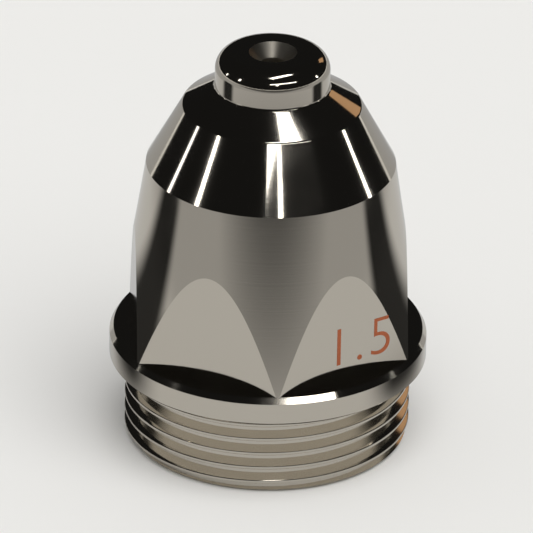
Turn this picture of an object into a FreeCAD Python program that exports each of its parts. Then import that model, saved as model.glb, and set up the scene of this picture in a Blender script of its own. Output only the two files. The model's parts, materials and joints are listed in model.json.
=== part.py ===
"""Plasma cutting torch nozzle with a screwed foot.

One solid: the outside is turned, the inside is bored, and six flats are milled
into the foot of the body for a spanner. The nozzle stands on its threaded end,
its axis is Z, and the arc leaves upwards through the orifice. Millimetres.
"""
import FreeCAD, Part
import math
import os
import Sketcher

# alias, value in millimetres (or degrees, or a count), meaning
DIMENSIONS = [
    ("thread_diameter", 18.0, "major diameter of the M18 x 1 thread"),
    ("thread_length", 5.4, "threaded end, up to the underside of the flange"),
    ("thread_lead_in", 0.5, "45 degree chamfer where the thread starts"),
    ("flange_diameter", 20.0, "round flange that seats on the torch head"),
    ("flange_thickness", 1.85, "from the underside of the flange to its ledge"),
    ("rim_step", 0.25, "how far the flange stands proud of the body's foot"),
    ("rim_drop", 0.37, "height of the chamfer on the flange's upper rim"),
    ("flange_edge_break", 0.15, "45 degree chamfer on its lower rim"),
    ("body_height", 11.55, "tapered body, from the ledge to the shoulder"),
    ("body_hollow", 0.06, "how far the middle of its side lies inside a straight cone"),
    ("shoulder_diameter", 15.64, "where the side of the body ends"),
    ("shoulder_height", 4.05, "steep cone above the shoulder"),
    ("nose_diameter", 11.2, "where the steep cone meets the flat one"),
    ("nose_height", 1.25, "flat cone, up to the foot of the boss"),
    ("boss_diameter", 7.2, "boss that holds the orifice"),
    ("boss_height", 2.3, "from the flat cone to the end face"),
    ("boss_rounding", 1.15, "rounding round the end face"),
    ("boss_foot_fillet", 0.25, "between the boss and the flat cone"),
    ("nose_rounding", 0.3, "between the steep cone and the flat one"),
    ("across_flats", 17.0, "spanner size"),
    ("flat_count", 6.0, "flats round the foot of the body"),
    ("seat_diameter", 14.0, "counterbore that the swirl ring fits"),
    ("seat_depth", 5.0, "depth of that counterbore"),
    ("seat_lead_in", 0.3, "45 degree chamfer at its mouth"),
    ("chamber_diameter", 12.0, "bore round the electrode"),
    ("chamber_depth", 11.5, "straight length of the chamber above its seat"),
    ("orifice_diameter", 1.5, "bore that the arc leaves through"),
    ("orifice_length", 3.25, "straight length of the orifice"),
    ("dish_diameter", 3.0, "countersink at the outlet"),
    ("dish_angle", 90.0, "included angle of the countersink"),
]

# alias, formula over the cells above, meaning
DERIVED = [
    ("ledge_z", "thread_length + flange_thickness", "ledge round the flats"),
    ("rim_z", "ledge_z - rim_drop", "top of the flange's straight wall"),
    ("shoulder_z", "ledge_z + body_height", "shoulder"),
    ("nose_z", "shoulder_z + shoulder_height", "edge of the nose"),
    ("boss_z", "nose_z + nose_height", "foot of the boss"),
    ("end_z", "boss_z + boss_height", "end face"),
    ("chamber_z", "seat_depth + chamber_depth", "top of the straight chamber"),
    ("dish_depth", "(dish_diameter - orifice_diameter) / 2 / tan(dish_angle / 2 * 1deg)",
     "depth of the countersink"),
    ("dish_z", "end_z - dish_depth", "foot of the countersink"),
    ("throat_z", "dish_z - orifice_length", "where the chamber's cone ends"),
    ("foot_diameter", "flange_diameter - 2 * rim_step", "foot of the tapered body"),
]

# feature, its radius, and the diameter and height of the edge that it rounds
ROUNDINGS = [
    ("nose_edge", "nose_rounding", "nose_diameter", "nose_z"),
    ("boss_foot", "boss_foot_fillet", "boss_diameter", "boss_z"),
]

# A sketch's own numbers for its origin, its axes and the points of an edge.
ORIGIN = (-1, 1)
H_AXIS, V_AXIS = -1, -2
START, END, CENTRE = 1, 2, 3
UP = FreeCAD.Vector(0, 0, 1)
TOLERANCE = 0.001


def make_sheet(doc):
    """The driving dimensions, and what is worked out from them."""
    sheet = doc.addObject("Spreadsheet::Sheet", "dimensions")
    row = 1
    for alias, value, meaning in DIMENSIONS:
        sheet.set(f"A{row}", meaning)
        sheet.set(f"B{row}", str(value))
        sheet.setAlias(f"B{row}", alias)
        row += 1
    for alias, formula, meaning in DERIVED:
        sheet.set(f"A{row}", meaning)
        sheet.set(f"B{row}", "=" + formula)
        sheet.setAlias(f"B{row}", alias)
        row += 1
    doc.recompute()
    return sheet


def cell(alias):
    return "dimensions." + alias


def radius(alias):
    return f"dimensions.{alias} / 2"


def origin_feature(body, role):
    """One of the body's own planes or axes."""
    return next(item for item in body.Origin.OriginFeatures if item.Role == role)


def new_sketch(body, name, plane):
    sketch = body.newObject("Sketcher::SketchObject", name)
    sketch.AttachmentSupport = [(origin_feature(body, plane), "")]
    sketch.MapMode = "FlatFace"
    return sketch


def bind(sketch, kind, *where, formula):
    """Add a constraint whose value comes from the sheet."""
    value = float(sketch.evalExpression(formula))
    index = sketch.addConstraint(Sketcher.Constraint(kind, *where, value))
    sketch.setExpression(f"Constraints[{index}]", formula)


def hold_point(sketch, edge, end, x_formula, y_formula):
    """Fix a point by two sizes; None means that it lies on the other axis."""
    if x_formula is None:
        sketch.addConstraint(Sketcher.Constraint("PointOnObject", edge, end, V_AXIS))
    else:
        bind(sketch, "DistanceX", *ORIGIN, edge, end, formula=x_formula)
    if y_formula is None:
        sketch.addConstraint(Sketcher.Constraint("PointOnObject", edge, end, H_AXIS))
    else:
        bind(sketch, "DistanceY", *ORIGIN, edge, end, formula=y_formula)


def arc_between(first, last, arc_radius):
    """A short arc that turns left, with its centre on the left of its chord."""
    chord = last - first
    left = UP.cross(chord).normalize()
    centre = (first + last) / 2 + left * math.sqrt(arc_radius**2 - chord.Length**2 / 4)
    angles = [math.atan2(point.y - centre.y, point.x - centre.x) for point in (first, last)]
    return Part.ArcOfCircle(Part.Circle(centre, UP, arc_radius), *angles)


def add_curve(sketch, first, last, pole_formulas):
    """A second degree curve, pulled towards one pole that the sheet places."""
    x, y = (float(sketch.evalExpression(formula)) for formula in pole_formulas)
    curve = Part.BSplineCurve()
    curve.buildFromPolesMultsKnots(
        [first, FreeCAD.Vector(x, y, 0), last], [3, 3], [0.0, 1.0], False, 2)
    edge = sketch.addGeometry(curve)
    sketch.exposeInternalGeometry(edge)
    first_pole = edge + 1
    hold_point(sketch, first_pole + 1, CENTRE, *pole_formulas)
    return edge


def draw_section(sketch, corners, arcs, curves):
    """A closed half section, anticlockwise. Each corner is (radius, height).

    arcs maps the number of the corner that an arc starts from to its radius,
    and curves does the same with the radius and height of a curve's pole. An
    arc bulges out of the section, and every other edge is straight.
    """
    points = []
    for x_formula, y_formula in corners:
        x = float(sketch.evalExpression(x_formula)) if x_formula else 0.0
        y = float(sketch.evalExpression(y_formula)) if y_formula else 0.0
        points.append(FreeCAD.Vector(x, y, 0))
    edges = []
    for number, first in enumerate(points):
        last = points[(number + 1) % len(points)]
        if number in arcs:
            arc_radius = float(sketch.evalExpression(arcs[number]))
            edges.append(sketch.addGeometry(arc_between(first, last, arc_radius)))
        elif number in curves:
            edges.append(add_curve(sketch, first, last, curves[number]))
        else:
            edges.append(sketch.addGeometry(Part.LineSegment(first, last)))
    for number, edge in enumerate(edges):
        following = edges[(number + 1) % len(edges)]
        sketch.addConstraint(
            Sketcher.Constraint("Coincident", edge, END, following, START))
    for edge, (x_formula, y_formula) in zip(edges, corners):
        hold_point(sketch, edge, START, x_formula, y_formula)
    for number, radius_formula in arcs.items():
        bind(sketch, "Radius", edges[number], formula=radius_formula)


def turned_blank(body):
    """The whole outside, turned from bar."""
    sketch = new_sketch(body, "outer_section", "XZ_Plane")
    corners = [
        (None, None),
        (f"{radius('thread_diameter')} - {cell('thread_lead_in')}", None),
        (radius("thread_diameter"), cell("thread_lead_in")),
        (radius("thread_diameter"), cell("thread_length")),
        (f"{radius('flange_diameter')} - {cell('flange_edge_break')}", cell("thread_length")),
        (radius("flange_diameter"), f"{cell('thread_length')} + {cell('flange_edge_break')}"),
        (radius("flange_diameter"), cell("rim_z")),
        (radius("foot_diameter"), cell("ledge_z")),
        (radius("shoulder_diameter"), cell("shoulder_z")),
        (radius("nose_diameter"), cell("nose_z")),
        (radius("boss_diameter"), cell("boss_z")),
        (radius("boss_diameter"), f"{cell('end_z')} - {cell('boss_rounding')}"),
        (f"{radius('boss_diameter')} - {cell('boss_rounding')}", cell("end_z")),
        (None, cell("end_z")),
    ]
    hollow_pole = (
        f"({radius('foot_diameter')} + {radius('shoulder_diameter')}) / 2"
        f" - 2 * {cell('body_hollow')}",
        f"({cell('ledge_z')} + {cell('shoulder_z')}) / 2",
    )
    boss_side = 11
    body_side = 7
    arcs = {boss_side: cell("boss_rounding")}
    draw_section(sketch, corners, arcs, {body_side: hollow_pole})
    blank = body.newObject("PartDesign::Revolution", "turned_blank")
    blank.Profile = sketch
    blank.ReferenceAxis = (sketch, ["V_Axis"])
    blank.Angle = 360
    return blank


def round_edge(body, sheet, name, size, diameter, height):
    """Fillet the round edge of the given diameter at the given height."""
    base = body.Tip
    names = []
    for number, edge in enumerate(base.Shape.Edges, start=1):
        if not isinstance(edge.Curve, Part.Circle):
            continue
        off_radius = abs(edge.Curve.Radius - sheet.get(diameter) / 2)
        off_height = abs(edge.Curve.Center.z - sheet.get(height))
        if max(off_radius, off_height) < TOLERANCE:
            names.append(f"Edge{number}")
    fillet = body.newObject("PartDesign::Fillet", name)
    fillet.Base = (base, names)
    fillet.setExpression("Radius", cell(size))
    body.Document.recompute()


def bore_inside(body):
    """Seat, chamber, cone, orifice and countersink, bored on the axis."""
    sketch = new_sketch(body, "inner_section", "XZ_Plane")
    corners = [
        (None, None),
        (f"{radius('seat_diameter')} + {cell('seat_lead_in')}", None),
        (radius("seat_diameter"), cell("seat_lead_in")),
        (radius("seat_diameter"), cell("seat_depth")),
        (radius("chamber_diameter"), cell("seat_depth")),
        (radius("chamber_diameter"), cell("chamber_z")),
        (radius("orifice_diameter"), cell("throat_z")),
        (radius("orifice_diameter"), cell("dish_z")),
        (radius("dish_diameter"), cell("end_z")),
        (None, cell("end_z")),
    ]
    draw_section(sketch, corners, {}, {})
    bore = body.newObject("PartDesign::Groove", "bore")
    bore.Profile = sketch
    bore.ReferenceAxis = (sketch, ["V_Axis"])
    bore.Angle = 360


def mill_flats(body):
    """One flat, milled down to the ledge, and repeated round the axis.

    Each flat is upright and the body tapers, so a flat runs out in an arch.
    """
    sketch = new_sketch(body, "flat_outline", "XY_Plane")
    sketch.setExpression("AttachmentOffset.Base.z", cell("ledge_z"))
    near = radius("across_flats")
    far = cell("flange_diameter")
    aside = radius("flange_diameter")
    corner_signs = [(near, -1), (far, -1), (far, 1), (near, 1)]
    points = []
    for x_formula, sign in corner_signs:
        x = float(sketch.evalExpression(x_formula))
        y = float(sketch.evalExpression(aside)) * sign
        points.append(FreeCAD.Vector(x, y, 0))
    for number, first in enumerate(points):
        sketch.addGeometry(Part.LineSegment(first, points[(number + 1) % 4]))
    for number in range(4):
        sketch.addConstraint(
            Sketcher.Constraint("Coincident", number, END, (number + 1) % 4, START))
    for number, kind in enumerate(("Horizontal", "Vertical", "Horizontal")):
        sketch.addConstraint(Sketcher.Constraint(kind, number))
    sketch.addConstraint(Sketcher.Constraint("Symmetric", 0, START, 3, START, H_AXIS))
    bind(sketch, "DistanceX", *ORIGIN, 0, START, formula=near)
    bind(sketch, "DistanceX", *ORIGIN, 0, END, formula=far)
    bind(sketch, "DistanceY", *ORIGIN, 2, START, formula=aside)
    flat = body.newObject("PartDesign::Pocket", "flat")
    flat.Profile = sketch
    flat.Reversed = True
    flat.setExpression("Length", cell("body_height"))
    body.Document.recompute()
    flats = body.newObject("PartDesign::PolarPattern", "flats")
    flats.Originals = [flat]
    flats.Axis = (origin_feature(body, "Z_Axis"), [""])
    flats.Angle = 360
    flats.setExpression("Occurrences", cell("flat_count"))
    body.Tip = flats


def make_nozzle(doc, sheet):
    body = doc.addObject("PartDesign::Body", "nozzle")
    body.Label = "nozzle"
    turned_blank(body)
    doc.recompute()
    for name, size, diameter, height in ROUNDINGS:
        round_edge(body, sheet, name, size, diameter, height)
    solid_volume = body.Shape.Volume
    bore_inside(body)
    doc.recompute()
    bored_volume = body.Shape.Volume
    if bored_volume >= solid_volume:
        raise RuntimeError("the bore cut nothing")
    mill_flats(body)
    doc.recompute()
    if body.Shape.Volume >= bored_volume:
        raise RuntimeError("the flats cut nothing")
    return body


def check_and_write(doc, bodies):
    """Refuse a failed feature, then write one file for each body."""
    for item in doc.Objects:
        if "Invalid" in item.State or "Error" in item.State:
            raise RuntimeError(f"{item.Name}: {item.State}")
    for body in bodies:
        if body.Shape.isNull() or not body.Shape.isValid():
            raise RuntimeError(f"{body.Label} has no valid shape")
    os.makedirs("parts", exist_ok=True)
    for body in bodies:
        body.Shape.exportStep(f"parts/{body.Label}.step")
        box = body.Shape.BoundBox
        print(body.Label, round(body.Shape.Volume, 2), "mm3", box)


def main():
    doc = FreeCAD.newDocument("plasma_torch_nozzle")
    sheet = make_sheet(doc)
    check_and_write(doc, [make_nozzle(doc, sheet)])


main()
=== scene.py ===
"""Plasma cutting torch nozzle, turned from copper and plated with bright nickel."""
import json
import math

import bpy
from mathutils import Matrix, Vector


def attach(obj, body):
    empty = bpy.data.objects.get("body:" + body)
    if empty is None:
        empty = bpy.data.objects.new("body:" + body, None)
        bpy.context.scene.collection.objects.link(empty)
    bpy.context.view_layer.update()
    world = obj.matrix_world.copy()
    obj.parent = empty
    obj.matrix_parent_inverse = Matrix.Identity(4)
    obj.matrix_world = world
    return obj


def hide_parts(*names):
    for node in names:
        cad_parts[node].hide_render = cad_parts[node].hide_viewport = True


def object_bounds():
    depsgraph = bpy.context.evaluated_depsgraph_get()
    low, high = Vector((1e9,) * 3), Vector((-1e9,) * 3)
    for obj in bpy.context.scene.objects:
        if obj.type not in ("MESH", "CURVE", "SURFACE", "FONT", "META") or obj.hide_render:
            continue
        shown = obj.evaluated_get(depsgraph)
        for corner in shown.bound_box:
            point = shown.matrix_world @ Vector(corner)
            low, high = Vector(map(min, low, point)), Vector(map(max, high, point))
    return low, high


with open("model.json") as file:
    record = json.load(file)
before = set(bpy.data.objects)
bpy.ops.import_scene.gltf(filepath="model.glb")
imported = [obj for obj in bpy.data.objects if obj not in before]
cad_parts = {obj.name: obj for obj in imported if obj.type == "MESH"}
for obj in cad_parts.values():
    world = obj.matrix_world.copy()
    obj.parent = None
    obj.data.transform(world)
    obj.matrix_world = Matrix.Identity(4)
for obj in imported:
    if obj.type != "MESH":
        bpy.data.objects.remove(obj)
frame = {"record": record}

bl_info = {
    "name": "Plasma torch nozzle",
    "version": (1, 0, 0),
    "blender": (4, 5, 0),
    "location": "3D Viewport > Sidebar > Nozzle",
    "description": "Models a screwed plasma torch nozzle and a small studio for it",
    "category": "Add Mesh",
}

MM = 0.001
FULL_TURN = 2 * math.pi
NODE = "nozzle"
ROOT = "root"
MOUNTS = {mount["name"]: mount for mount in frame["record"]["mounts"]}
CAD_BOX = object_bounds()
UPPER_Z = CAD_BOX[1].z


def mount_radius(name):
    return MOUNTS[name]["dims"]["r_mm"] * MM


def mount_height(name):
    return MOUNTS[name]["pos_m"][2]


def linear_colour(hex_code):
    """An sRGB hex colour as the linear colour that a shader takes."""
    channels = [int(hex_code[i:i + 2], 16) / 255 for i in (1, 3, 5)]
    return [c / 12.92 if c <= 0.04045 else ((c + 0.055) / 1.055) ** 2.4 for c in channels]


# ---------------------------------------------------------------- properties


def length(name, description, default_mm):
    return bpy.props.FloatProperty(
        name=name, description=description, default=default_mm * MM,
        unit="LENGTH", precision=5)


def colour(name, description, hex_code):
    return bpy.props.FloatVectorProperty(
        name=name, description=description, subtype="COLOR",
        default=linear_colour(hex_code), min=0.0, max=1.0)


class NozzleSizes(bpy.types.PropertyGroup):
    """Sizes of the nozzle that its mounts don't state."""

    thread_pitch: length("Thread pitch", "Fine metric pitch", 1.0)
    thread_lead_in: length("Lead-in", "Chamfer where the thread starts", 0.5)
    flange_edge: length("Flange edge", "Chamfer under the flange", 0.15)
    rim_step: length("Rim step", "Flange proud of the body's foot", 0.25)
    rim_drop: length("Rim drop", "Height of the upper rim's chamfer", 0.37)
    ledge_height: length("Ledge", "Height of the ledge round the flats", 7.25)
    body_hollow: length("Hollow", "Hollow of the body's tapered side", 0.06)
    shoulder_radius: length("Shoulder radius", "Where the body's side ends", 7.82)
    shoulder_height: length("Shoulder height", "Where the body's side ends", 18.8)
    nose_radius: length("Nose radius", "Where the steep cone ends", 5.6)
    nose_height: length("Nose height", "Where the steep cone ends", 22.85)
    nose_rounding: length("Nose rounding", "Rounding of the nose's edge", 0.3)
    boss_radius: length("Boss radius", "Boss round the orifice", 3.6)
    boss_foot_height: length("Boss foot", "Height of the boss's foot", 24.1)
    boss_foot_fillet: length("Boss fillet", "Fillet at the boss's foot", 0.25)
    boss_rounding: length("Boss rounding", "Rounding round the end face", 1.15)
    dish_radius: length("Dish radius", "Countersink of the orifice", 1.5)
    seat_lead_in: length("Seat lead-in", "Chamfer at the mouth of the bore", 0.3)
    crest_width: length("Crest width", "Flat land on the thread's crest", 0.09)
    crest_rounding: length("Crest rounding", "Plate rounds the crest's edges", 0.07)
    mark_height: length("Figure height", "Height of the size figures", 2.7)
    mark_foot: length("Figure foot", "Height of the figures' foot", 8.25)
    mark_start: length("Figure start", "From the middle of the flat", -1.35)
    mark_proud: length("Figure relief", "The burnt edge stands this proud", 0.012)


class NozzleColours(bpy.types.PropertyGroup):
    """Colours of the nozzle's plate and figures, and of the floor."""

    plate: colour("Nickel plate", "Warm grey of bright nickel", "#D3CCBF")
    mark: colour("Size figures", "Copper bared and browned by the laser", "#C26A42")
    floor: colour("Floor", "Matt pale card", "#EEEDEA")


SIDES = 256          # segments round the axis
ARC_STEPS = 16       # segments of a large rounding in the section
SMALL_ARC_STEPS = 6  # segments of the nose's and the boss foot's roundings
CREST_STEPS = 4      # segments of the thread crest's rounded edges
MERGE = 0.0005 * MM  # vertices closer than this are one
FLANK = math.radians(30)       # half the angle between the thread's flanks
SMOOTH_BELOW = math.radians(7)  # sharper edges than this stay sharp
CREST_SHARE = 0.13   # share of a pitch at which a crest stands on the +X side
GROOVE_OVERSHOOT = 0.3 * MM     # the groove's coil stands this far out
PLUG_OVERLAP = 0.1 * MM         # the plug reaches this far into the flange
ACROSS_FLATS = MOUNTS["spanner_flat_right"]["pos_m"][0]  # axis to flat
HEXAGON_CORNER = math.radians(30)  # from a flat's middle to its corner


# ------------------------------------------------------------ modelling tools


def start_piece():
    """Deselect everything, so that an operator acts on the new piece alone."""
    if bpy.context.object and bpy.context.object.mode != "OBJECT":
        bpy.ops.object.mode_set(mode="OBJECT")
    bpy.ops.object.select_all(action="DESELECT")


def name_piece(name):
    piece = bpy.context.object
    piece.name = name
    piece.data.name = name
    return piece


def activate(piece):
    bpy.ops.object.mode_set(mode="OBJECT")
    bpy.ops.object.select_all(action="DESELECT")
    piece.select_set(True)
    bpy.context.view_layer.objects.active = piece


def draw_line(points):
    """One vertex, extruded from point to point, in the plane y = 0."""
    bpy.ops.mesh.primitive_plane_add(size=MM)
    bpy.ops.object.mode_set(mode="EDIT")
    bpy.ops.mesh.select_all(action="SELECT")
    bpy.ops.mesh.merge(type="CENTER")
    place = Vector((0, 0, 0))
    first = Vector((points[0][0], 0, points[0][1]))
    bpy.ops.transform.translate(value=first - place)
    place = first
    for radius, height in points[1:]:
        following = Vector((radius, 0, height))
        bpy.ops.mesh.extrude_region_move(
            TRANSFORM_OT_translate={"value": following - place})
        place = following
    bpy.ops.mesh.select_all(action="SELECT")


def close_up():
    """Merge the seam and the poles, and turn every face outwards."""
    bpy.ops.mesh.select_all(action="SELECT")
    bpy.ops.mesh.remove_doubles(threshold=MERGE)
    bpy.ops.mesh.normals_make_consistent(inside=False)
    bpy.ops.object.mode_set(mode="OBJECT")


def turned(name, section):
    """A solid of revolution from a half section that starts and ends on the axis."""
    start_piece()
    draw_line(section)
    bpy.ops.mesh.spin(steps=SIDES, angle=FULL_TURN, center=(0, 0, 0), axis=(0, 0, 1))
    close_up()
    return name_piece(name)


def combine(piece, tool, operation):
    """Join, cut or trim the piece with the tool, which is used up."""
    activate(piece)
    modifier = piece.modifiers.new(operation.lower(), "BOOLEAN")
    modifier.operation = operation
    modifier.solver = "EXACT"
    modifier.material_mode = "TRANSFER"
    modifier.object = tool
    bpy.ops.object.modifier_apply(modifier=modifier.name)
    bpy.data.objects.remove(tool, do_unlink=True)


def arc(centre, radius, start, end, steps=ARC_STEPS):
    """Points of an arc in the section, from one angle to another, in degrees."""
    points = []
    for step in range(steps + 1):
        angle = math.radians(start + (end - start) * step / steps)
        points.append((centre[0] + radius * math.cos(angle),
                       centre[1] + radius * math.sin(angle)))
    return points


def corner_arc(before, corner, after, radius, steps=ARC_STEPS):
    """Points of the rounding that touches both sides of a corner."""
    corner, before, after = Vector(corner), Vector(before), Vector(after)
    to_before = (before - corner).normalized()
    to_after = (after - corner).normalized()
    half_angle = to_before.angle(to_after) / 2
    middle = (to_before + to_after).normalized()
    centre = corner + middle * radius / math.sin(half_angle)
    reach = radius / math.tan(half_angle)
    start = corner + to_before * reach - centre
    end = corner + to_after * reach - centre
    points = []
    for step in range(steps + 1):
        share = step / steps
        swing = start.angle(end)
        ray = (start * math.sin((1 - share) * swing) + end * math.sin(share * swing))
        ray /= math.sin(swing)
        points.append(tuple(centre + ray))
    return points


# ----------------------------------------------------------------- materials


def add_node(tree, kind, settings=None, links=None):
    """Add a node; settings name its properties or inputs, links feed its inputs."""
    node = tree.nodes.new(kind)
    for key, value in (settings or {}).items():
        if isinstance(key, str) and hasattr(node, key):
            setattr(node, key, value)
        else:
            node.inputs[key].default_value = value
    for key, output in (links or {}).items():
        tree.links.new(output, node.inputs[key])
    return node


def new_material(name):
    material = bpy.data.materials.new(name)
    material.use_nodes = True
    material.node_tree.nodes.clear()
    return material


def stripes(tree, coordinate, width):
    """Fine random lines across one coordinate, each about so wide."""
    return add_node(tree, "ShaderNodeTexNoise", {
        "noise_dimensions": "1D", "Scale": 1 / width, "Detail": 2.0,
        "Roughness": 0.6}, {"W": coordinate}).outputs[0]


def nickel(name, colours, roughness, lines, line_width, relief):
    """Bright nickel plate: a warm grey mirror that follows the copper below it.

    The lines are the tool's own marks, which plating keeps: round the axis where
    the piece was turned, and along it where a cutter milled the flats. Real marks
    are a few hundredths wide, and are drawn about 0.1 mm wide so that they show.
    """
    material = new_material(name)
    tree = material.node_tree
    shader = add_node(tree, "ShaderNodeBsdfPrincipled", {
        "Metallic": 1.0, "Roughness": roughness,
        "Base Color": (*colours.plate, 1.0)})
    place = add_node(tree, "ShaderNodeTexCoord").outputs["Object"]
    axes = add_node(tree, "ShaderNodeSeparateXYZ", links={0: place})
    if lines == "round":
        across = axes.outputs[2]
    else:
        bearing = add_node(tree, "ShaderNodeMath", {"operation": "ARCTAN2"},
                           {0: axes.outputs[1], 1: axes.outputs[0]})
        across = add_node(tree, "ShaderNodeMath", {
            "operation": "MULTIPLY", 1: ACROSS_FLATS}, {0: bearing.outputs[0]}).outputs[0]
    marks = stripes(tree, across, line_width)
    # handling and the bath leave faint clouds, a few millimetres across
    clouds = add_node(tree, "ShaderNodeTexNoise", {
        "Scale": 1 / (3 * MM), "Detail": 3.0}, {"Vector": place})
    height = add_node(tree, "ShaderNodeMath", {"operation": "MULTIPLY_ADD", 1: 0.6},
                      {0: marks, 2: clouds.outputs[0]})
    bump = add_node(tree, "ShaderNodeBump", {"Strength": 1.0, "Distance": relief},
                    {"Height": height.outputs[0]})
    tree.links.new(bump.outputs[0], shader.inputs["Normal"])
    gloss = add_node(tree, "ShaderNodeMapRange", {
        1: 0.3, 2: 0.7, 3: roughness * 0.8, 4: roughness * 1.3},
        {0: clouds.outputs[0]})
    tree.links.new(gloss.outputs[0], shader.inputs["Roughness"])
    add_node(tree, "ShaderNodeOutputMaterial", links={"Surface": shader.outputs[0]})
    return material


def burnt_copper(name, colours):
    """Copper bared by a laser and browned: dull, with a fine grain."""
    material = new_material(name)
    tree = material.node_tree
    place = add_node(tree, "ShaderNodeTexCoord").outputs["Object"]
    grain = add_node(tree, "ShaderNodeTexNoise", {"Scale": 1 / (0.15 * MM)},
                     {"Vector": place})
    tint = add_node(tree, "ShaderNodeMix", {
        "data_type": "RGBA", 6: (*[c * 0.7 for c in colours.mark], 1),
        7: (*colours.mark, 1)}, {0: grain.outputs[0]})
    shader = add_node(tree, "ShaderNodeBsdfPrincipled", {
        "Metallic": 0.3, "Roughness": 0.5}, {"Base Color": tint.outputs[2]})
    add_node(tree, "ShaderNodeOutputMaterial", links={"Surface": shader.outputs[0]})
    return material


# -------------------------------------------------------------------- nozzle


def upper_section(sizes):
    """Half section of everything above the thread, from the axis and back to it."""
    thread_root = mount_radius("head_thread") - thread_depth(sizes)
    flange_radius = CAD_BOX[1].x
    flange_base = mount_height("flange_seat")
    foot = (flange_radius - sizes.rim_step, sizes.ledge_height)
    shoulder = (sizes.shoulder_radius, sizes.shoulder_height)
    nose = (sizes.nose_radius, sizes.nose_height)
    boss_foot = (sizes.boss_radius, sizes.boss_foot_height)
    boss_side = (sizes.boss_radius, UPPER_Z - sizes.boss_rounding)
    section = [
        (0, flange_base),
        (thread_root - sizes.flange_edge, flange_base),
        (flange_radius - sizes.flange_edge, flange_base),
        (flange_radius, flange_base + sizes.flange_edge),
        (flange_radius, sizes.ledge_height - sizes.rim_drop),
        foot,
    ]
    for step in range(1, ARC_STEPS):
        share = step / ARC_STEPS
        radius = foot[0] + (shoulder[0] - foot[0]) * share
        radius -= sizes.body_hollow * 4 * share * (1 - share)
        section.append((radius, foot[1] + (shoulder[1] - foot[1]) * share))
    section.append(shoulder)
    section += corner_arc(shoulder, nose, boss_foot, sizes.nose_rounding,
                          SMALL_ARC_STEPS)
    section += corner_arc(nose, boss_foot, boss_side, sizes.boss_foot_fillet,
                          SMALL_ARC_STEPS)
    section += arc((sizes.boss_radius - sizes.boss_rounding, UPPER_Z - sizes.boss_rounding),
                   sizes.boss_rounding, 0, 90)
    section.append((0, UPPER_Z))
    return section


def thread_depth(sizes):
    """Depth of a metric thread that is cut to its basic form."""
    return 5 / 8 * math.sqrt(3) / 2 * sizes.thread_pitch


def groove_section(sizes):
    """The closed outline of one turn of the groove between two crests."""
    crest = mount_radius("head_thread")
    root = crest - thread_depth(sizes)
    rounding = sizes.crest_rounding
    pitch = sizes.thread_pitch
    lower = CREST_SHARE * pitch + sizes.crest_width / 2
    upper = (CREST_SHARE + 1) * pitch - sizes.crest_width / 2
    # a crest's rounding turns from upright to the flank
    turn = 90 - math.degrees(FLANK)
    rise = rounding * math.cos(FLANK)
    fall = (thread_depth(sizes) - rounding * (1 - math.sin(FLANK))) * math.tan(FLANK)
    outside = crest + GROOVE_OVERSHOOT
    section = [(outside, lower)]
    section += arc((crest - rounding, lower), rounding, 0, turn, CREST_STEPS)
    section += [(root, lower + rise + fall), (root, upper - rise - fall)]
    section += arc((crest - rounding, upper), rounding, -turn, 0, CREST_STEPS)
    section.append((outside, upper))
    return section



def screw_groove(sizes):
    """The right-hand groove of the M18 x 1 thread, as one closed coil."""
    start_piece()
    pitch = sizes.thread_pitch
    section = groove_section(sizes)
    draw_line([(radius, height - 2 * pitch) for radius, height in section])
    bpy.ops.mesh.edge_face_add()
    bpy.ops.mesh.delete(type="ONLY_FACE")
    bpy.ops.object.mode_set(mode="OBJECT")
    coil = name_piece("groove")
    modifier = coil.modifiers.new("screw", "SCREW")
    modifier.axis = "Z"
    modifier.steps = SIDES
    modifier.render_steps = SIDES
    modifier.iterations = math.ceil(mount_height("flange_seat") / pitch) + 1
    modifier.screw_offset = pitch
    bpy.ops.object.modifier_apply(modifier=modifier.name)
    bpy.ops.object.mode_set(mode="EDIT")
    bpy.ops.mesh.select_all(action="SELECT")
    bpy.ops.mesh.fill_holes(sides=0)
    close_up()
    return coil


def threaded_plug(sizes):
    """The plug below the flange, chamfered where the thread starts."""
    crest = mount_radius("head_thread")
    top = mount_height("flange_seat") + PLUG_OVERLAP
    return turned("thread", [
        (0, 0), (crest - sizes.thread_lead_in, 0), (crest, sizes.thread_lead_in),
        (crest, top), (0, top)])


def bore_section(sizes):
    """Half section of the inside, from below the foot to above the end face."""
    seat = mount_radius("swirl_ring_seat")
    chamber = mount_radius("electrode_chamber")
    orifice = mount_radius("orifice")
    seat_length = MOUNTS["swirl_ring_seat"]["dims"]["length_mm"] * MM
    chamber_length = MOUNTS["electrode_chamber"]["dims"]["length_mm"] * MM
    orifice_length = MOUNTS["orifice"]["dims"]["length_mm"] * MM
    seat_top = sizes.seat_lead_in + seat_length
    chamber_top = seat_top + chamber_length
    dish_foot = UPPER_Z - (sizes.dish_radius - orifice)
    throat = dish_foot - orifice_length
    past = MM
    return [
        (0, -past), (seat + sizes.seat_lead_in + past, -past), (seat, sizes.seat_lead_in),
        (seat, seat_top), (chamber, seat_top), (chamber, chamber_top),
        (orifice, throat), (orifice, dish_foot),
        (sizes.dish_radius + past, UPPER_Z + past), (0, UPPER_Z + past)]


def flats_cutter(sizes):
    """A ring with a hexagonal hole, which leaves the six flats and the ledge."""
    start_piece()
    height = sizes.shoulder_height - sizes.ledge_height
    middle = (0, 0, sizes.ledge_height + height / 2)
    outside = CAD_BOX[1].x + MM
    bpy.ops.mesh.primitive_cylinder_add(
        vertices=SIDES, radius=outside, depth=height, location=middle)
    bpy.ops.object.transform_apply(location=True)
    cutter = name_piece("flats")
    bpy.ops.object.select_all(action="DESELECT")
    bpy.ops.mesh.primitive_cylinder_add(
        vertices=6, radius=ACROSS_FLATS / math.cos(HEXAGON_CORNER), depth=height * 2,
        location=middle)
    bpy.ops.object.transform_apply(location=True)
    combine(cutter, name_piece("hexagon"), "DIFFERENCE")
    return cutter


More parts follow.
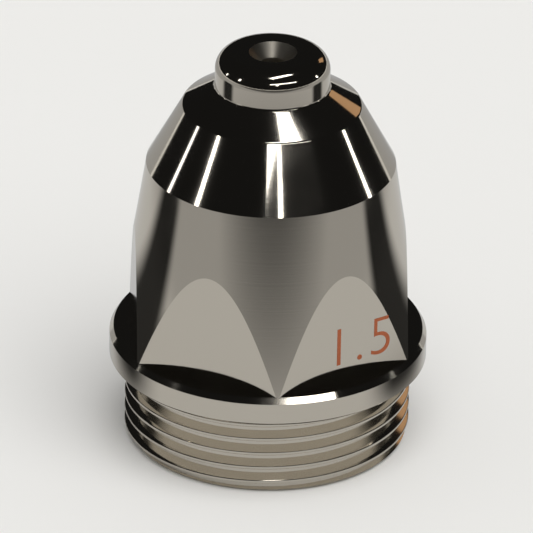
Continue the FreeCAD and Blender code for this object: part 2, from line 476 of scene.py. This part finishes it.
class NOZZLE_OT_nozzle(bpy.types.Operator):
    """Turn, thread, bore and mill the nozzle"""

    bl_idname = "nozzle.nozzle"
    bl_label = "Nozzle"

    def execute(self, context):
        sizes = context.scene.nozzle_sizes
        colours = context.scene.nozzle_colours
        turned_nickel = nickel("bright nickel plate, turned", colours, 0.07,
                               "round", 0.16 * MM, 0.0004 * MM)
        milled_nickel = nickel("bright nickel plate, milled", colours, 0.12,
                               "along", 0.1 * MM, 0.0008 * MM)
        thread_nickel = nickel("bright nickel plate, threaded", colours, 0.1,
                               "round", 0.08 * MM, 0.0004 * MM)
        bored_nickel = nickel("dull nickel plate, bored", colours, 0.3,
                              "round", 0.1 * MM, 0.001 * MM)
        nozzle = turned("nozzle_body", upper_section(sizes))
        nozzle.data.materials.append(turned_nickel)
        plug = threaded_plug(sizes)
        plug.data.materials.append(thread_nickel)
        groove = screw_groove(sizes)
        groove.data.materials.append(thread_nickel)
        combine(plug, groove, "DIFFERENCE")
        combine(nozzle, plug, "UNION")
        bore = turned("bore", bore_section(sizes))
        bore.data.materials.append(bored_nickel)
        combine(nozzle, bore, "DIFFERENCE")
        cutter = flats_cutter(sizes)
        cutter.data.materials.append(milled_nickel)
        combine(nozzle, cutter, "DIFFERENCE")
        activate(nozzle)
        bpy.ops.object.shade_smooth_by_angle(angle=SMOOTH_BELOW)
        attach(nozzle, ROOT)
        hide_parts(NODE)
        return {"FINISHED"}


FIGURES_BEARING = math.radians(-60)  # the flat that carries the figures
CAP_HEIGHT = 0.7                 # height of a figure in the font's own size
FIGURE_THINNING = -0.055 * MM    # the laser's stroke is thinner than the font's
FIGURE_SPACING = 1.1


class NOZZLE_OT_size_figures(bpy.types.Operator):
    """Burn the orifice's size into the flat at the front right"""

    bl_idname = "nozzle.size_figures"
    bl_label = "Size figures"

    def execute(self, context):
        sizes = context.scene.nozzle_sizes
        colours = context.scene.nozzle_colours
        start_piece()
        bpy.ops.object.text_add()
        text = context.object.data
        text.body = "%.1f" % (2 * mount_radius("orifice") / MM)
        text.size = sizes.mark_height / CAP_HEIGHT
        text.offset = FIGURE_THINNING
        text.extrude = sizes.mark_proud
        text.space_character = FIGURE_SPACING
        bpy.ops.object.convert(target="MESH")
        outward = Vector((math.cos(FIGURES_BEARING), math.sin(FIGURES_BEARING), 0))
        along = Vector((-outward.y, outward.x, 0))
        figures = name_piece("size_figures")
        place = Matrix((along, Vector((0, 0, 1)), outward)).transposed().to_4x4()
        place.translation = (outward * ACROSS_FLATS + along * sizes.mark_start
                             + Vector((0, 0, sizes.mark_foot)))
        figures.matrix_world = place
        bpy.ops.object.transform_apply(location=True, rotation=True, scale=True)
        figures.data.materials.append(burnt_copper("copper, bared by laser", colours))
        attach(figures, ROOT)
        return {"FINISHED"}


# --------------------------------------------------------------------- stage


def soft_sun(name, strength, spread, tilt):
    """Broad daylight that lights the floor and that polished metal doesn't show."""
    bpy.ops.object.light_add(type="SUN", rotation=[math.radians(t) for t in tilt])
    sun = bpy.context.object
    sun.name = name
    sun.data.energy = strength
    sun.data.angle = math.radians(spread)
    sun.visible_glossy = False


LAMP_DISTANCE = 0.9


def small_lamp(name, bearing, height, wide, tall, brightness, tint="#FFFFFF"):
    """A small lamp, which polished metal shows as a sharp light.

    Bearing is measured from the front towards the right, height from level, and
    the lamp's width and height are seen from the nozzle, all in degrees.
    """
    a, e = math.radians(bearing), math.radians(height)
    away = Vector((math.sin(a) * math.cos(e), -math.cos(a) * math.cos(e), math.sin(e)))
    bpy.ops.object.light_add(type="AREA", location=away * LAMP_DISTANCE,
                             rotation=away.to_track_quat("Z", "Y").to_euler())
    lamp = bpy.context.object
    lamp.name = name
    lamp.data.shape = "RECTANGLE"
    lamp.data.size = LAMP_DISTANCE * math.radians(wide)
    lamp.data.size_y = LAMP_DISTANCE * math.radians(tall)
    lamp.data.energy = brightness * lamp.data.size * lamp.data.size_y * math.pi
    lamp.data.color = linear_colour(tint)
    lamp.visible_camera = False
    lamp.visible_diffuse = False


# name, bearing, height, width and tallness in degrees, brightness, tint
SMALL_LAMPS = (
    ("overhead lamp", 50, 80, 34, 7, 6, "#FFFFFF"),
    ("front lamp", 6, 31, 3, 7, 9, "#FFFFFF"),
    ("front strip", 20, 37.5, 50, 4, 5, "#FFFFFF"),
    ("left lamp", -74, 23, 3, 10, 8, "#FFFFFF"),
    ("far left lamp", -106, 12, 3, 10, 3, "#FFFFFF"),
    ("right lamp", 95, 13, 3, 10, 6, "#FFFFFF"),
    ("warm screen", 143, 22, 10, 14, 0.7, "#E8B98C"),
)


def smooth_band(tree, value, low, high, soft):
    """One inside a range of the value and nought outside, with soft edges."""
    rise = add_node(tree, "ShaderNodeMapRange", {
        "interpolation_type": "SMOOTHSTEP", 1: low - soft, 2: low + soft}, {0: value})
    fall = add_node(tree, "ShaderNodeMapRange", {
        "interpolation_type": "SMOOTHSTEP", 1: high - soft, 2: high + soft,
        3: 1.0, 4: 0.0}, {0: value})
    return add_node(tree, "ShaderNodeMath", {"operation": "MULTIPLY"},
                    {0: rise.outputs[0], 1: fall.outputs[0]}).outputs[0]


# painted shadows of the nozzle, nearly black, that only its reflections show: each one's
# left, right, front and back edge on the card, in millimetres
PAINTED_SHADOWS = ((-78, -17, -3, 23), (17, 76, -9, 18))


def make_painted_floor_reflection():
    """A card over the floor that only glossy rays see: a painted reflection of the floor,
    which polished metal mirrors in place of the floor itself.

    It is paler near the nozzle and darker to the front, with a painted shadow of the
    nozzle, nearly black, on either side.
    """
    start_piece()
    bpy.ops.mesh.primitive_circle_add(vertices=64, radius=0.5, fill_type="NGON",
                                      location=(0, 0, 0.02 * MM))
    card = name_piece("painted_floor_reflection")
    material = new_material("painted floor reflection with painted shadows")
    tree = material.node_tree
    place = add_node(tree, "ShaderNodeTexCoord").outputs["Object"]
    axes = add_node(tree, "ShaderNodeSeparateXYZ", links={0: place})
    reach = add_node(tree, "ShaderNodeVectorMath", {"operation": "LENGTH"}, {0: place})
    # painted reflection of the floor: paler within about 50 to 66 mm of the axis, and
    # darker towards the front
    near = add_node(tree, "ShaderNodeMapRange", {
        "interpolation_type": "SMOOTHSTEP", 1: 50 * MM, 2: 66 * MM, 3: 0.6, 4: 0.4},
        {0: reach.outputs["Value"]})
    front = add_node(tree, "ShaderNodeMapRange", {
        1: -113 * MM, 2: -66 * MM, 3: 0.22, 4: 1.0}, {0: axes.outputs[1]})
    shade = add_node(tree, "ShaderNodeMath", {"operation": "MULTIPLY"},
                     {0: near.outputs[0], 1: front.outputs[0]}).outputs[0]
    # each painted shadow darkens the card's shade to 0.05 of itself where it lies
    for left, right, low, high in PAINTED_SHADOWS:
        across = smooth_band(tree, axes.outputs[0], left * MM, right * MM, 3 * MM)
        deep = smooth_band(tree, axes.outputs[1], low * MM, high * MM, 5 * MM)
        painted_shadow = add_node(tree, "ShaderNodeMath", {"operation": "MULTIPLY"},
                        {0: across, 1: deep})
        pale = add_node(tree, "ShaderNodeMapRange", {3: 1.0, 4: 0.05},
                        {0: painted_shadow.outputs[0]})
        shade = add_node(tree, "ShaderNodeMath", {"operation": "MULTIPLY"},
                         {0: shade, 1: pale.outputs[0]}).outputs[0]
    grey = add_node(tree, "ShaderNodeCombineColor", links={0: shade, 1: shade, 2: shade})
    shader = add_node(tree, "ShaderNodeBsdfDiffuse", links={0: grey.outputs[0]})
    add_node(tree, "ShaderNodeOutputMaterial", links={"Surface": shader.outputs[0]})
    card.data.materials.append(material)
    card.visible_camera = False
    card.visible_diffuse = False
    card.visible_shadow = False


class NOZZLE_OT_stage(bpy.types.Operator):
    """Floor, lamps and camera"""

    bl_idname = "nozzle.stage"
    bl_label = "Stage"

    def execute(self, context):
        start_piece()
        bpy.ops.mesh.primitive_circle_add(vertices=64, radius=1.5, fill_type="NGON")
        floor = name_piece("floor")
        material = new_material("matt pale card")
        tree = material.node_tree
        shader = add_node(tree, "ShaderNodeBsdfDiffuse", {
            "Color": (*context.scene.nozzle_colours.floor, 1)})
        add_node(tree, "ShaderNodeOutputMaterial", links={"Surface": shader.outputs[0]})
        floor.data.materials.append(material)
        # a painted reflection of the floor, with painted shadows, that only polished metal
        # shows
        make_painted_floor_reflection()
        soft_sun("key light", 1.9, 60, (25, 12, 0))
        soft_sun("fill light", 1.4, 150, (0, 0, 0))
        for lamp in SMALL_LAMPS:
            small_lamp(*lamp)
        make_camera(context)
        world = bpy.data.worlds.new("dim room")
        context.scene.world = world
        world.use_nodes = True
        tree = world.node_tree
        tree.nodes.clear()
        sky = add_node(tree, "ShaderNodeBackground", {"Color": (0.01, 0.01, 0.01, 1)})
        add_node(tree, "ShaderNodeOutputWorld", links={"Surface": sky.outputs[0]})
        context.scene.view_settings.view_transform = "Standard"
        return {"FINISHED"}


CAMERA_BEARING = math.radians(-4)
CAMERA_ELEVATION = math.radians(27.34)
CAMERA_LEAN = 0.0179             # radians
CAMERA_DISTANCE = 576.5 * MM
CAMERA_LENS = 620.7              # millimetres, on a 36 mm sensor
AIM_HEIGHT = 14 * MM
AIM_LEFT = 0.207 * MM
AIM_DOWN = 2.315 * MM


def make_camera(context):
    """A long lens from the front, a little to the left of a spanner corner."""
    level = math.cos(CAMERA_ELEVATION)
    back = Vector((math.sin(CAMERA_BEARING) * level, -math.cos(CAMERA_BEARING) * level,
                   math.sin(CAMERA_ELEVATION)))
    level_right = Vector((math.cos(CAMERA_BEARING), math.sin(CAMERA_BEARING), 0))
    level_up = back.cross(level_right)
    right = level_right * math.cos(CAMERA_LEAN) + level_up * math.sin(CAMERA_LEAN)
    up = level_up * math.cos(CAMERA_LEAN) - level_right * math.sin(CAMERA_LEAN)
    aim = Vector((0, 0, AIM_HEIGHT)) - right * AIM_LEFT - up * AIM_DOWN
    turn = Matrix((right, up, back)).transposed()
    bpy.ops.object.select_all(action="DESELECT")
    bpy.ops.object.camera_add(location=aim + back * CAMERA_DISTANCE,
                              rotation=turn.to_euler())
    camera = context.object
    camera.name = "camera"
    camera.data.lens = CAMERA_LENS
    camera.data.sensor_width = 36
    camera.data.clip_start = 0.01
    context.scene.camera = camera


class NOZZLE_PT_panel(bpy.types.Panel):
    """Sizes and buttons of the nozzle"""

    bl_idname = "NOZZLE_PT_panel"
    bl_label = "Plasma torch nozzle"
    bl_space_type = "VIEW_3D"
    bl_region_type = "UI"
    bl_category = "Nozzle"

    def draw(self, context):
        for operator in OPERATORS:
            self.layout.operator(operator.bl_idname)


OPERATORS = (NOZZLE_OT_nozzle, NOZZLE_OT_size_figures, NOZZLE_OT_stage)
CLASSES = (NozzleSizes, NozzleColours, *OPERATORS, NOZZLE_PT_panel)


def register():
    for item in CLASSES:
        bpy.utils.register_class(item)
    bpy.types.Scene.nozzle_sizes = bpy.props.PointerProperty(type=NozzleSizes)
    bpy.types.Scene.nozzle_colours = bpy.props.PointerProperty(type=NozzleColours)


def unregister():
    del bpy.types.Scene.nozzle_colours
    del bpy.types.Scene.nozzle_sizes
    for item in reversed(CLASSES):
        bpy.utils.unregister_class(item)


def main():
    register()
    bpy.ops.nozzle.nozzle()
    bpy.ops.nozzle.size_figures()
    bpy.ops.nozzle.stage()


if __name__ == "__main__":
    main()
